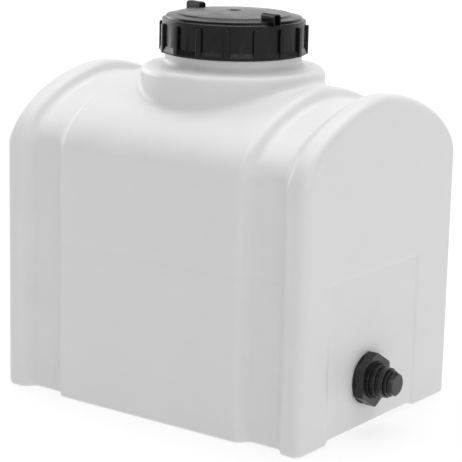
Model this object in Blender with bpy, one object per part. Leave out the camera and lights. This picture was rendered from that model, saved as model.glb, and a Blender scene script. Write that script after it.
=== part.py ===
"""Fresh water tank with a screw lid, a lid vent and a plugged bulkhead fitting.

Frame: metres, +Z up. The origin is on the floor under the lid's axis. +X is the tank's length, towards the
bulkhead fitting, and Y is its width.
"""

import math

import bmesh
import bpy
from mathutils import Matrix, Vector

MM = 0.001
GAP = 0.3 * MM  # clearance between pieces that touch

# Driving dimensions of the shell
HALF_LENGTH = 202.4 * MM
HALF_WIDTH = 149.6 * MM
SPRING_Z = 282 * MM  # where the sides end and the dome starts
CROWN_Z = 360 * MM
DOME_EXPONENT = 1.71  # below 2 the arch is a little pointed
WALL = 4.5 * MM
EDGE_ROUND = 10.5 * MM  # rounding of the end faces
FOOT_EDGE_SHARE = 0.4  # how much of that rounding the lower edge takes
FOOT_ROUND = 4 * MM  # rounding of the lower long edges
CAVITY_ROUND = 7 * MM
DOME_STEPS = 13  # points on each side of the dome

# Strap recesses, one at each end of the raised middle
MIDDLE_EDGE_X = 121.2 * MM
FLOOR_INNER_X = 130.4 * MM
FLOOR_OUTER_X = 169.5 * MM
FLANGE_EDGE_X = 178.6 * MM
RECESS_DEPTH = 12 * MM

# Shallow panel in the end face and the relief between the feet
PANEL_CENTRE_Y = -12.3 * MM
PANEL_HALF_WIDTH = 88 * MM
PANEL_TOP_Z = 176 * MM
PANEL_DEPTH = 1.5 * MM
RELIEF_HEIGHT = 7 * MM
RELIEF_INNER_X = 171 * MM
CUT_PAST = 10 * MM  # how far a cutter runs past the surface that it cuts

# Boss and neck
BOSS_RADIUS = 101.5 * MM
BOSS_FOOT_Z = 318 * MM
BOSS_SHOULDER = 8 * MM
PLATEAU_Z = 372.5 * MM
COLLAR_RADIUS = 75.4 * MM
COLLAR_FILLET = 8 * MM
COLLAR_TOP_Z = 386.2 * MM
NECK_RADIUS = 71.8 * MM
NECK_BORE_RADIUS = 67.5 * MM
RIM_Z = 414 * MM

# Lid thread: a ridge on the neck and one in the lid's skirt
PITCH = 6 * MM
THREAD_TURNS = 2.25
NECK_THREAD_Z = 394.5 * MM
THREAD_DEPTH = 2.4 * MM
RIDGE_ROOT = 2.6 * MM
RIDGE_CREST = 1.2 * MM
RIDGE_BURY = 0.8 * MM
STEPS_PER_TURN = 32
ROUND = 60  # sides of the large turned shapes
FITTING_ROUND = 32  # sides of the small ones

# Lid
SKIRT_RADIUS = 78.8 * MM
SKIRT_BORE_RADIUS = 75.3 * MM
RIB_RADIUS = 82.2 * MM
LID_LOW_Z = 386.7 * MM
LIP_RAISE = 0.6 * MM
LIP_TOP_Z = 391.7 * MM
RIB_TOP_Z = 419 * MM
LID_SEAT_Z = 417 * MM
LID_EDGE_Z = 424.3 * MM
RING_Z = 427.3 * MM
RING_OUTER_RADIUS = 74.4 * MM
RING_INNER_RADIUS = 64.8 * MM
DISC_RADIUS = 62 * MM
DISC_Z = 430 * MM
LID_CROWN_Z = 432.7 * MM
LID_PLATE = 3.2 * MM
RIB_COUNT = 16
RIB_WIDTH = 6.5 * MM
RIB_PHASE = math.radians(8.4)
LUG_LENGTH = 24 * MM
LUG_WIDTH = 9 * MM
LUG_OUTER_RADIUS = 82 * MM
LUG_LOW_Z = 423.6 * MM
LUG_TOP_Z = 436.2 * MM
LUG_ROUND = 2.5 * MM
LUG_ANGLES = (math.radians(-20), math.radians(164))

# Lid gasket and vent
GASKET_OUTER = 74.6 * MM
GASKET_INNER = 67.8 * MM
VENT_BORE = 3.2 * MM
VENT_STEM = 2.4 * MM
VENT_HEAD = 4.6 * MM
VENT_FOOT = 1.4 * MM
VENT_SINK_RADIUS = 5.4 * MM
VENT_SINK_Z = 430.9 * MM
VENT_PLATE_Z = 427.5 * MM
VENT_TRAVEL = 2.5 * MM
FLAP_RADIUS = 15 * MM
FLAP_THICKNESS = 1.6 * MM

# Bulkhead fitting, on an axis along X through the end face's panel
FIT_Y = -22.8 * MM
FIT_Z = 58 * MM
TANK_HOLE = 17.6 * MM
BARREL_RADIUS = 16.4 * MM
BARREL_BORE = 12.7 * MM
FLANGE_RADIUS = 27.9 * MM
FLANGE_THICKNESS = 5 * MM
SEAL_THICKNESS = 2 * MM
WASHER_THICKNESS = 1.5 * MM
NUT_HOLE = 16.8 * MM
NUT_ACROSS_CORNERS = 60.6 * MM
NUT_END_X = 214.1 * MM
NUT_RING_RADIUS = 20 * MM
NUT_RING_END_X = 215.1 * MM
NUT_HUB_RADIUS = 18.6 * MM
NUT_HUB_END_X = 222 * MM
NUT_PHASE = math.radians(29)  # one corner is almost straight up
BARREL_END_X = 230.4 * MM
PLUG_SHANK = 12.3 * MM
PLUG_SHANK_START_X = 215.4 * MM
PLUG_HEAD_RADIUS = 14.7 * MM
PLUG_FACE_RADIUS = 10.9 * MM
PLUG_CHAMFER = 2.4 * MM
PLUG_BORE = 9 * MM
PLUG_FLOOR = 4 * MM
PLUG_END_X = 240.4 * MM
ORING_OUTER = 14.2 * MM
ORING_THICKNESS = 1.4 * MM


def clear_scene():
    """Removes the objects of the startup scene."""
    for obj in list(bpy.data.objects):
        bpy.data.objects.remove(obj, do_unlink=True)


def new_collection(name):
    """A collection under the scene's own."""
    collection = bpy.data.collections.new(name)
    bpy.context.scene.collection.children.link(collection)
    return collection


def new_material(name, colour, roughness):
    """A plain plastic or rubber material."""
    material = bpy.data.materials.new(name)
    material.use_nodes = True
    shader = material.node_tree.nodes["Principled BSDF"]
    shader.inputs["Base Color"].default_value = (*colour, 1)
    shader.inputs["Roughness"].default_value = roughness
    shader.inputs["Metallic"].default_value = 0
    return material


def new_object(name, bm, collection, material=None):
    """An object that holds the bmesh, with its normals facing out."""
    bmesh.ops.recalc_face_normals(bm, faces=bm.faces)
    mesh = bpy.data.meshes.new(name)
    bm.to_mesh(mesh)
    bm.free()
    obj = bpy.data.objects.new(name, mesh)
    collection.objects.link(obj)
    if material:
        mesh.materials.append(material)
        mesh.shade_smooth()
        mesh.set_sharp_from_angle(angle=math.radians(35))
    return obj


def new_cutter(name, bm, cutters):
    """A helper for a Boolean, kept out of the model."""
    obj = new_object(name, bm, cutters)
    obj.hide_render = True
    obj.display_type = "WIRE"
    return obj


def boolean(obj, operation, other):
    """A Boolean modifier with the exact solver."""
    modifier = obj.modifiers.new(other.name, "BOOLEAN")
    modifier.operation = operation
    modifier.solver = "EXACT"
    modifier.object = other


def arc(centre, radius, start, end, steps):
    """Points (r, z) on an arc, with angles in degrees."""
    angles = [math.radians(start + (end - start) * i / steps) for i in range(steps + 1)]
    return [(centre[0] + radius * math.cos(a), centre[1] + radius * math.sin(a)) for a in angles]


def turned(outline, steps=ROUND, phase=0):
    """A bmesh turned about Z. The outline (r, z) is a closed one off the axis, or has both ends on it."""
    bm = bmesh.new()
    verts = [bm.verts.new((r * math.cos(phase), r * math.sin(phase), z)) for r, z in outline]
    on_axis = outline[0][0] == 0
    pairs = list(zip(verts, verts[1:])) if on_axis else list(zip(verts, verts[1:] + verts[:1]))
    edges = [bm.edges.new(pair) for pair in pairs]
    bmesh.ops.spin(bm, geom=verts + edges, axis=(0, 0, 1), cent=(0, 0, 0), angle=2 * math.pi, steps=steps)
    bmesh.ops.remove_doubles(bm, verts=bm.verts, dist=1e-6)
    return bm


def along_fitting(bm):
    """Turns a bmesh made about Z, with z as its world X, onto the fitting's axis."""
    turn = Matrix.Rotation(math.radians(90), 4, "Y")
    place = Matrix.Translation((0, FIT_Y, FIT_Z)) @ turn
    bmesh.ops.transform(bm, matrix=place, verts=bm.verts)
    return bm


def ring(inner, outer, low, high, steps=ROUND, phase=0):
    """A plain ring about Z, or a polygonal one with few steps."""
    return turned([(inner, low), (outer, low), (outer, high), (inner, high)], steps, phase)


def cylinder(radius, low, high, steps=ROUND):
    """A plain cylinder about Z."""
    return prism(radius, steps, low, high)


def prism(radius, sides, low, high, phase=0):
    """A regular prism about Z. The radius is to its corners, and at phase 0 one of them is on +Y."""
    bm = bmesh.new()
    middle = Matrix.Translation((0, 0, (low + high) / 2)) @ Matrix.Rotation(phase, 4, "Z")
    bmesh.ops.create_cone(bm, cap_ends=True, segments=sides, radius1=radius, radius2=radius,
                          depth=high - low, matrix=middle)
    return bm


def box(low, high):
    """A box between two corners."""
    bm = bmesh.new()
    size = Vector(high) - Vector(low)
    place = Matrix.Translation((Vector(low) + Vector(high)) / 2) @ Matrix.Diagonal((*size, 1))
    bmesh.ops.create_cube(bm, size=1, matrix=place)
    return bm


# ---------------------------------------------------------------- tank shell


def dome_point(angle, inset):
    """A point (y, z) of the superelliptic dome, pulled in by inset."""
    power = 2 / DOME_EXPONENT
    y = (HALF_WIDTH - inset) * math.cos(angle) ** power
    z = SPRING_Z + (CROWN_Z - SPRING_Z - inset) * math.sin(angle) ** power
    return y, z


def section(inset, floor):
    """The tank's cross-section (y, z): rounded feet, upright sides and the dome."""
    foot = HALF_WIDTH - inset
    half = arc((foot - FOOT_ROUND, floor + FOOT_ROUND), FOOT_ROUND, -90, 0, 3)
    half += [dome_point(math.pi / 2 * i / DOME_STEPS, inset) for i in range(DOME_STEPS)]
    return half + [(0, CROWN_Z - inset)] + [(-y, z) for y, z in reversed(half)]


def outer_stations():
    """(x, inset, floor) from one end of the tank to its middle, for the outside."""
    steps = 4
    stations = []
    for i in range(steps + 1):
        angle = math.pi / 2 * i / steps
        inset = EDGE_ROUND * (1 - math.sin(angle))
        x = HALF_LENGTH - EDGE_ROUND * (1 - math.cos(angle))
        stations.append((x, inset, inset * FOOT_EDGE_SHARE))
    stations += [
        (FLANGE_EDGE_X, 0, 0),
        (FLOOR_OUTER_X, RECESS_DEPTH, 0),
        (FLOOR_INNER_X, RECESS_DEPTH, 0),
        (MIDDLE_EDGE_X, 0, 0),
    ]
    return stations


def inner_stations():
    """(x, inset, floor) from one end to the middle, for the cavity. Its floor clears the foot relief."""
    end = HALF_LENGTH - WALL
    high = RELIEF_HEIGHT + WALL
    corner = WALL + CAVITY_ROUND
    return [
        (end, corner, high),
        (end - CAVITY_ROUND, WALL, high),
        (FLANGE_EDGE_X + WALL, WALL, high),
        (FLOOR_OUTER_X + WALL / 2, WALL + RECESS_DEPTH, high),
        (RELIEF_INNER_X - WALL, WALL + RECESS_DEPTH, high),
        (FLOOR_INNER_X - WALL / 2, WALL + RECESS_DEPTH, WALL),
        (MIDDLE_EDGE_X - WALL, WALL, WALL),
    ]


def closed_loop(bm, points):
    """The edges of a closed loop through the points."""
    verts = [bm.verts.new(point) for point in points]
    return [bm.edges.new(pair) for pair in zip(verts, verts[1:] + verts[:1])]


def lofted(stations):
    """A closed body through the stations of one half and their mirror images."""
    both = stations + [(-x, inset, floor) for x, inset, floor in reversed(stations)]
    bm = bmesh.new()
    loops = [closed_loop(bm, [(x, y, z) for y, z in section(inset, floor)]) for x, inset, floor in both]
    for near, far in zip(loops, loops[1:]):
        bmesh.ops.bridge_loops(bm, edges=near + far)
    for end in (loops[0], loops[-1]):
        bmesh.ops.edgeloop_fill(bm, edges=end)
    return bm


def boss_and_neck():
    """The round boss on the dome, the collar under the lid and the neck, as one turned body."""
    outline = [(0, BOSS_FOOT_Z), (BOSS_RADIUS, BOSS_FOOT_Z)]
    outline += arc((BOSS_RADIUS - BOSS_SHOULDER, PLATEAU_Z - BOSS_SHOULDER), BOSS_SHOULDER, 0, 90, 4)
    outline += arc((COLLAR_RADIUS + COLLAR_FILLET, PLATEAU_Z + COLLAR_FILLET), COLLAR_FILLET, 270, 180, 4)
    outline += [
        (COLLAR_RADIUS, COLLAR_TOP_Z),
        (NECK_RADIUS, COLLAR_TOP_Z),
        (NECK_RADIUS, RIM_Z),
        (0, RIM_Z),
    ]
    return turned(outline)


def boss_cavity():
    """The space inside the boss and the neck."""
    radius = BOSS_RADIUS - WALL
    high = PLATEAU_Z - WALL
    outline = [(0, BOSS_FOOT_Z - WALL), (radius, BOSS_FOOT_Z - WALL)]
    outline += arc((radius - CAVITY_ROUND, high - CAVITY_ROUND), CAVITY_ROUND, 0, 90, 3)
    outline += [(NECK_BORE_RADIUS, high), (NECK_BORE_RADIUS, RIM_Z + WALL), (0, RIM_Z + WALL)]
    return turned(outline)


def thread_ridge(root, crest, start_z, turns):
    """A right-hand helical ridge about Z, from a root radius to a crest radius on either side of it."""
    buried = root - math.copysign(RIDGE_BURY, crest - root)
    corners = [
        (buried, -RIDGE_ROOT / 2),
        (crest, -RIDGE_CREST / 2),
        (crest, RIDGE_CREST / 2),
        (buried, RIDGE_ROOT / 2),
    ]
    bm = bmesh.new()
    face = bm.faces.new([bm.verts.new((r, 0, start_z + z)) for r, z in corners])
    rise = Vector((0, 0, PITCH / STEPS_PER_TURN))
    geom = list(face.verts) + list(face.edges) + [face]
    bmesh.ops.spin(bm, geom=geom, axis=(0, 0, 1), cent=(0, 0, 0), dvec=rise,
                   angle=2 * math.pi * turns, steps=round(turns * STEPS_PER_TURN))
    return bm


def end_panel(side):
    """The shallow panel of one end face, which also sets the face back between the feet."""
    low = (HALF_LENGTH - PANEL_DEPTH, PANEL_CENTRE_Y - PANEL_HALF_WIDTH, -CUT_PAST)
    high = (HALF_LENGTH + CUT_PAST, PANEL_CENTRE_Y + PANEL_HALF_WIDTH, PANEL_TOP_Z)
    return mirrored_in_x(box(low, high), side)


def foot_relief(side):
    """The relief under one end, with sloping ends that leave a foot at each corner."""
    low = (RELIEF_INNER_X, PANEL_CENTRE_Y - PANEL_HALF_WIDTH, -RELIEF_HEIGHT)
    high = (HALF_LENGTH + CUT_PAST, PANEL_CENTRE_Y + PANEL_HALF_WIDTH, RELIEF_HEIGHT)
    bm = box(low, high)
    upper = [e for e in bm.edges if all(v.co.z > 0 for v in e.verts)]
    lengthwise = [e for e in upper if abs(e.verts[0].co.y - e.verts[1].co.y) < MM]
    bmesh.ops.bevel(bm, geom=lengthwise, offset=RELIEF_HEIGHT - MM, segments=1, affect="EDGES")
    return mirrored_in_x(bm, side)


def mirrored_in_x(bm, side):
    """The bmesh as it is for side 1, or at the tank's other end for side -1."""
    bmesh.ops.scale(bm, vec=(side, 1, 1), verts=bm.verts)
    return bm


def make_tank(parts, cutters, material):
    """The one-piece shell, open at the neck and at the bulkhead hole."""
    shell = new_object("tank_shell", lofted(outer_stations()), parts, material)
    boolean(shell, "UNION", new_cutter("boss_outside", boss_and_neck(), cutters))
    for side, end in ((1, "front"), (-1, "rear")):
        boolean(shell, "DIFFERENCE", new_cutter(f"{end}_panel", end_panel(side), cutters))
        boolean(shell, "DIFFERENCE", new_cutter(f"{end}_relief", foot_relief(side), cutters))
    boolean(shell, "DIFFERENCE", new_cutter("cavity", lofted(inner_stations()), cutters))
    boolean(shell, "DIFFERENCE", new_cutter("boss_inside", boss_cavity(), cutters))
    hole = along_fitting(cylinder(TANK_HOLE, FLANGE_EDGE_X, HALF_LENGTH + CUT_PAST, FITTING_ROUND))
    boolean(shell, "DIFFERENCE", new_cutter("bulkhead_hole", hole, cutters))
    ridge = thread_ridge(NECK_RADIUS, NECK_RADIUS + THREAD_DEPTH, NECK_THREAD_Z, THREAD_TURNS)
    boolean(shell, "UNION", new_cutter("neck_thread", ridge, cutters))


# ---------------------------------------------------------------- lid and vent


def lid_outline():
    """The turned outline of the lid without ribs, from the skirt's foot over the top and back inside."""
    return [
        (SKIRT_BORE_RADIUS, LID_LOW_Z),
        (SKIRT_RADIUS, LID_LOW_Z),
        (SKIRT_RADIUS, LID_EDGE_Z - MM),
        (SKIRT_RADIUS - 0.8 * MM, LID_EDGE_Z - 0.4 * MM),
        (SKIRT_RADIUS - 3.2 * MM, LID_EDGE_Z + 0.2 * MM),
        (RING_OUTER_RADIUS, RING_Z - 0.4 * MM),
        (RING_INNER_RADIUS, RING_Z + 1.1 * MM),
        (DISC_RADIUS, DISC_Z),
        (DISC_RADIUS * 0.66, lid_top_z(DISC_RADIUS * 0.66)),
        (DISC_RADIUS * 0.33, lid_top_z(DISC_RADIUS * 0.33)),
        (VENT_SINK_RADIUS, LID_CROWN_Z),
        (VENT_SINK_RADIUS, VENT_SINK_Z),
        (VENT_BORE, VENT_SINK_Z),
        (VENT_BORE, VENT_PLATE_Z),
        (FLAP_RADIUS + 3 * MM, VENT_PLATE_Z),
        (DISC_RADIUS, DISC_Z - LID_PLATE - MM),
        (GASKET_INNER - 1.5 * MM, LID_SEAT_Z),
        (SKIRT_BORE_RADIUS, LID_SEAT_Z),
    ]


def lid_top_z(radius):
    """Height of the domed disc at a radius."""
    return LID_CROWN_Z - (LID_CROWN_Z - DISC_Z) * (radius / DISC_RADIUS) ** 2


def grip_rib(angle):
    """One grip rib with a chamfered top, from the lip upwards."""
    low = (SKIRT_RADIUS - 1.5 * MM, -RIB_WIDTH / 2, LID_LOW_Z + 1 * MM)
    bm = box(low, (RIB_RADIUS, RIB_WIDTH / 2, RIB_TOP_Z))
    outer_top = [e for e in bm.edges if all(v.co.z > LID_SEAT_Z and v.co.x > SKIRT_RADIUS for v in e.verts)]
    bmesh.ops.bevel(bm, geom=outer_top, offset=1.5 * MM, segments=2, affect="EDGES", profile=0.5)
    bmesh.ops.rotate(bm, cent=(0, 0, 0), matrix=Matrix.Rotation(angle, 3, "Z"), verts=bm.verts)
    return bm


def spanner_lug(angle):
    """One radial lug that hangs a little over the lid's edge."""
    low = (LUG_OUTER_RADIUS - LUG_LENGTH, -LUG_WIDTH / 2, LUG_LOW_Z)
    bm = box(low, (LUG_OUTER_RADIUS, LUG_WIDTH / 2, LUG_TOP_Z))
    upper = [e for e in bm.edges if all(v.co.z > DISC_Z for v in e.verts)]
    bmesh.ops.bevel(bm, geom=upper, offset=LUG_ROUND, segments=2, affect="EDGES", profile=0.5)
    bmesh.ops.rotate(bm, cent=(0, 0, 0), matrix=Matrix.Rotation(angle, 3, "Z"), verts=bm.verts)
    return bm


def gathered(bmeshes):
    """Several bmeshes in one."""
    whole = bmesh.new()
    for bm in bmeshes:
        mesh = bpy.data.meshes.new("gathered")
        bm.to_mesh(mesh)
        bm.free()
        whole.from_mesh(mesh)
        bpy.data.meshes.remove(mesh)
    return whole


def make_lid(parts, cutters, material):
    """The screw lid, whose thread ridge runs half a pitch from the neck's."""
    lid = new_object("lid", turned(lid_outline()), parts, material)
    lip_low = LID_LOW_Z + LIP_RAISE
    lip = ring(SKIRT_RADIUS - 1.8 * MM, RIB_RADIUS - GAP, lip_low, LIP_TOP_Z, RIB_COUNT, RIB_PHASE)
    boolean(lid, "UNION", new_cutter("lid_lip", lip, cutters))
    ribs = [grip_rib(RIB_PHASE + 2 * math.pi * i / RIB_COUNT) for i in range(RIB_COUNT)]
    boolean(lid, "UNION", new_cutter("grip_ribs", gathered(ribs), cutters))
    lugs = [spanner_lug(angle) for angle in LUG_ANGLES]
    boolean(lid, "UNION", new_cutter("spanner_lugs", gathered(lugs), cutters))
    start = NECK_THREAD_Z - PITCH / 2
    ridge = thread_ridge(SKIRT_BORE_RADIUS, SKIRT_BORE_RADIUS - THREAD_DEPTH, start, THREAD_TURNS)
    boolean(lid, "UNION", new_cutter("lid_thread", ridge, cutters))


def make_lid_gasket(parts, material):
    """The flat ring between the neck's rim and the lid."""
    new_object("lid_gasket", ring(GASKET_INNER, GASKET_OUTER, RIM_Z + GAP, LID_SEAT_Z - GAP), parts, material)


def make_vent(parts, stem_material, flap_material):
    """The vent's stem, hanging by its head in the lid, and the flap on its foot."""
    head_low = VENT_SINK_Z + GAP
    flap_top = VENT_PLATE_Z - GAP - VENT_TRAVEL
    flap_low = flap_top - FLAP_THICKNESS
    foot_top = flap_low - GAP
    outline = [
        (0, foot_top - VENT_FOOT),
        (VENT_HEAD, foot_top - VENT_FOOT),
        (VENT_HEAD, foot_top),
        (VENT_STEM, foot_top),
        (VENT_STEM, head_low),
        (VENT_HEAD, head_low),
        (VENT_HEAD, LID_CROWN_Z - GAP),
        (0, LID_CROWN_Z - GAP),
    ]
    new_object("vent_poppet", turned(outline, FITTING_ROUND), parts, stem_material)
    flap = ring(VENT_STEM + GAP, FLAP_RADIUS, flap_low, flap_top, FITTING_ROUND)
    new_object("vent_flap", flap, parts, flap_material)


# ---------------------------------------------------------------- bulkhead fitting


def make_bulkhead(parts, cutters, plastic, rubber):
    """The flanged body through the end wall, its gasket, washer and nut."""
    wall_in = HALF_LENGTH - WALL
    panel = HALF_LENGTH - PANEL_DEPTH
    gasket_in = wall_in - GAP - SEAL_THICKNESS
    flange_out = gasket_in - GAP
    flange_in = flange_out - FLANGE_THICKNESS
    outline = [
        (BARREL_BORE, flange_in),
        (FLANGE_RADIUS, flange_in),
        (FLANGE_RADIUS, flange_out),
        (BARREL_RADIUS, flange_out),
        (BARREL_RADIUS, BARREL_END_X - MM),
        (BARREL_RADIUS - MM, BARREL_END_X),
        (BARREL_BORE, BARREL_END_X),
    ]
    new_object("bulkhead_body", along_fitting(turned(outline, FITTING_ROUND)), parts, plastic)
    gasket = ring(NUT_HOLE, FLANGE_RADIUS - MM, gasket_in, wall_in - GAP, FITTING_ROUND)
    new_object("inner_gasket", along_fitting(gasket), parts, rubber)
    washer_out = panel + GAP + WASHER_THICKNESS
    washer = ring(NUT_HOLE, FLANGE_RADIUS, panel + GAP, washer_out, FITTING_ROUND)
    new_object("outer_washer", along_fitting(washer), parts, plastic)
    nut_body = along_fitting(prism(NUT_ACROSS_CORNERS / 2, 6, washer_out + GAP, NUT_END_X, NUT_PHASE))
    nut = new_object("bulkhead_nut", nut_body, parts, plastic)
    rim = along_fitting(cylinder(NUT_RING_RADIUS, NUT_END_X - 2 * MM, NUT_RING_END_X, FITTING_ROUND))
    boolean(nut, "UNION", new_cutter("nut_rim", rim, cutters))
    hub = along_fitting(cylinder(NUT_HUB_RADIUS, NUT_END_X - 3 * MM, NUT_HUB_END_X, FITTING_ROUND))
    boolean(nut, "UNION", new_cutter("nut_hub", hub, cutters))
    bore = along_fitting(cylinder(NUT_HOLE, HALF_LENGTH - WALL, BARREL_END_X, FITTING_ROUND))
    boolean(nut, "DIFFERENCE", new_cutter("nut_bore", bore, cutters))


def make_plug(parts, cutters, plastic, rubber):
    """The hollow drain plug with a chamfered hexagon head, and the sealing ring under it."""
    seal_low = BARREL_END_X + GAP
    head_low = seal_low + ORING_THICKNESS + GAP
    head = along_fitting(prism(PLUG_HEAD_RADIUS, 6, head_low, PLUG_END_X, NUT_PHASE))
    plug = new_object("drain_plug", head, parts, plastic)
    limit = [
        (0, head_low - MM),
        (PLUG_HEAD_RADIUS + MM, head_low - MM),
        (PLUG_HEAD_RADIUS + MM, PLUG_END_X - PLUG_CHAMFER),
        (PLUG_FACE_RADIUS, PLUG_END_X + 0.01 * MM),
        (0, PLUG_END_X + 0.01 * MM),
    ]
    boolean(plug, "INTERSECT", new_cutter("head_limit", along_fitting(turned(limit, FITTING_ROUND)), cutters))
    shank = along_fitting(cylinder(PLUG_SHANK, PLUG_SHANK_START_X, head_low + MM, FITTING_ROUND))
    boolean(plug, "UNION", new_cutter("plug_shank", shank, cutters))
    hollow_end = PLUG_END_X - PLUG_FLOOR
    hollow = along_fitting(cylinder(PLUG_BORE, PLUG_SHANK_START_X - MM, hollow_end, FITTING_ROUND))
    boolean(plug, "DIFFERENCE", new_cutter("plug_hollow", hollow, cutters))
    seal = ring(PLUG_SHANK + GAP, ORING_OUTER, seal_low, seal_low + ORING_THICKNESS, FITTING_ROUND)
    new_object("plug_seal", along_fitting(seal), parts, rubber)


def main():
    """Builds every piece at rest, with the lid and the plug screwed home."""
    clear_scene()
    parts = new_collection("fresh_water_tank")
    cutters = new_collection("cutters")
    polyethylene = new_material("natural_polyethylene", (0.86, 0.86, 0.84), 0.45)
    polypropylene = new_material("black_polypropylene", (0.025, 0.025, 0.027), 0.5)
    rubber = new_material("black_rubber", (0.02, 0.02, 0.02), 0.8)
    make_tank(parts, cutters, polyethylene)
    make_lid(parts, cutters, polypropylene)
    make_lid_gasket(parts, rubber)
    make_vent(parts, polypropylene, rubber)
    make_bulkhead(parts, cutters, polypropylene, rubber)
    make_plug(parts, cutters, polypropylene, rubber)


main()
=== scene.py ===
"""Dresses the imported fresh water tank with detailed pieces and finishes, and sets up its studio.

The shell is natural polyethylene, rotationally moulded in one piece. The screw lid, its vent and the
bulkhead fitting are black moulded plastic with rubber seals. Each piece is modelled in place, in metres
with +Z up, and rides on the CAD body of the piece that it stands for.
"""

import logging
import math
from collections.abc import Callable, Iterator, Sequence
from contextlib import contextmanager
from dataclasses import dataclass, field
from enum import Enum

import bmesh
import bpy
from mathutils import Matrix, Vector


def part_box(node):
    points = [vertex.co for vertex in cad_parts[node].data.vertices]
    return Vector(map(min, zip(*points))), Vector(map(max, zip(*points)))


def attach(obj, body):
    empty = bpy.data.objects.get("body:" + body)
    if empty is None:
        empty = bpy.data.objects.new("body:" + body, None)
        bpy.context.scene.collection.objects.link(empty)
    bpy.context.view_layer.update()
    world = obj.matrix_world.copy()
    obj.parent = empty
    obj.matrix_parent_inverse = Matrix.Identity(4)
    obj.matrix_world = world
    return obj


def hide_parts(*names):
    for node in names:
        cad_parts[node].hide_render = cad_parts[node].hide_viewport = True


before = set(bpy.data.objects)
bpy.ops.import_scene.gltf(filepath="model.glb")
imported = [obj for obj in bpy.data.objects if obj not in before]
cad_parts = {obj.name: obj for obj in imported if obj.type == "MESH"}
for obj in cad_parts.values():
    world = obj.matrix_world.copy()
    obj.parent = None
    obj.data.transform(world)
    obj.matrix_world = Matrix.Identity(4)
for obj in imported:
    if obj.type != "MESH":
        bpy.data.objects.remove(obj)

log = logging.getLogger("fresh_water_tank")

MM = 0.001
GAP = 0.3 * MM
ARC_STEP = math.radians(11)
RANK = "rank"

# The thread of the neck and the lid.
THREAD_HEIGHT = 2.4 * MM
THREAD_TURNS = 2.25
THREAD_PITCH = 6 * MM
THREAD_WIDTH = 2.6 * MM

# The pitch of the fitting's pipe thread.
PIPE_PITCH = 1.814 * MM

Corner = tuple[float, float, float]
Outline = list[tuple[float, float]]


class Body(Enum):
    """The CAD bodies that pieces ride on."""

    TANK = "tank"
    LID_SEAL = "lid_seal"
    LID = "lid"
    VENT = "vent"
    PLUG_RING = "plug_ring"
    PLUG = "plug"


class Slot(Enum):
    """The record's material slots."""

    SHELL = "tank_polyethylene"
    LID = "lid_polypropylene"
    VENT = "vent_plastic"
    FITTING = "fitting_polypropylene"
    SEAL = "seal_rubber"


class Join(Enum):
    """What a Boolean does with the other piece."""

    ADD = "UNION"
    CUT = "DIFFERENCE"
    KEEP = "INTERSECT"


# ------------------------------------------------------------------ modelling by hand


def select_only(obj: bpy.types.Object) -> None:
    """Makes one object the whole selection and the active one.

    Args:
        obj: The object.
    """
    bpy.ops.object.select_all(action="DESELECT")
    obj.select_set(True)
    bpy.context.view_layer.objects.active = obj


@contextmanager
def editing(obj: bpy.types.Object) -> Iterator[bmesh.types.BMesh]:
    """Holds one object in edit mode with everything in it selected.

    Args:
        obj: The object to edit.

    Returns:
        Its edit mesh, for picking and placing points.
    """
    select_only(obj)
    bpy.ops.object.mode_set(mode="EDIT")
    bpy.ops.mesh.select_all(action="SELECT")
    yield bmesh.from_edit_mesh(obj.data)
    bmesh.update_edit_mesh(obj.data)
    bpy.ops.object.mode_set(mode="OBJECT")


def settle(obj: bpy.types.Object) -> bpy.types.Object:
    """Applies an object's place, turn and scale to its mesh.

    Args:
        obj: The object.

    Returns:
        The same object, now at the origin.
    """
    select_only(obj)
    bpy.ops.object.transform_apply(location=True, rotation=True, scale=True)
    return obj


def rounded(corners: Sequence[Corner], closed: bool = True) -> Outline:
    """Rounds the corners of an outline with arcs.

    Args:
        corners: First coordinate, second coordinate and rounding radius of each corner.
        closed: Whether the last corner joins the first. The ends of an open outline stay sharp.

    Returns:
        The points of the outline.
    """
    points: Outline = []
    for index, (first, second, radius) in enumerate(corners):
        here = Vector((first, second))
        loose_end = not closed and index in (0, len(corners) - 1)
        back = Vector(corners[index - 1][:2]) - here
        onward = Vector(corners[(index + 1) % len(corners)][:2]) - here
        turn = math.pi - back.angle(onward)
        if loose_end or radius <= 0 or turn < ARC_STEP / 4:
            points.append((first, second))
            continue
        back.normalize()
        onward.normalize()
        centre = here + (back + onward).normalized() * radius / math.cos(turn / 2)
        spoke = here + back * radius * math.tan(turn / 2) - centre
        sweep = math.copysign(turn, back.y * onward.x - back.x * onward.y)
        steps = max(2, math.ceil(turn / ARC_STEP))
        for step in range(steps + 1):
            point = centre + Matrix.Rotation(sweep * step / steps, 2) @ spoke
            points.append((point.x, point.y))
    return points


def wire(name: str, points: Sequence[Vector], closed: bool = True, filled: bool = False) -> bpy.types.Object:
    """Draws an outline: a circle with as many corners as it has points, moved onto them.

    Args:
        name: Name of the object.
        points: The outline's points in order.
        closed: Whether the last point joins the first.
        filled: Whether a face fills the outline.

    Returns:
        The new object.
    """
    fill = "NGON" if filled else "NOTHING"
    bpy.ops.mesh.primitive_circle_add(vertices=len(points), radius=MM, fill_type=fill)
    obj = bpy.context.object
    obj.name = name
    obj.data.name = name
    with editing(obj) as mesh:
        rank = mesh.verts.layers.int.new(RANK)
        for index, (vert, point) in enumerate(zip(mesh.verts, points)):
            vert.co = point
            vert[rank] = index
            vert.select = not closed and index in (0, len(points) - 1)
        mesh.select_flush_mode()
        if not closed:
            bmesh.update_edit_mesh(obj.data)
            bpy.ops.mesh.delete(type="EDGE_FACE")
    return obj


def close_up(obj: bpy.types.Object) -> bpy.types.Object:
    """Merges doubled points and turns the normals outwards.

    Args:
        obj: The object.

    Returns:
        The same object.
    """
    with editing(obj):
        bpy.ops.mesh.remove_doubles(threshold=0.001 * MM)
        bpy.ops.mesh.normals_make_consistent(inside=False)
    if RANK in obj.data.attributes:
        obj.data.attributes.remove(obj.data.attributes[RANK])
    return obj


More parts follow.
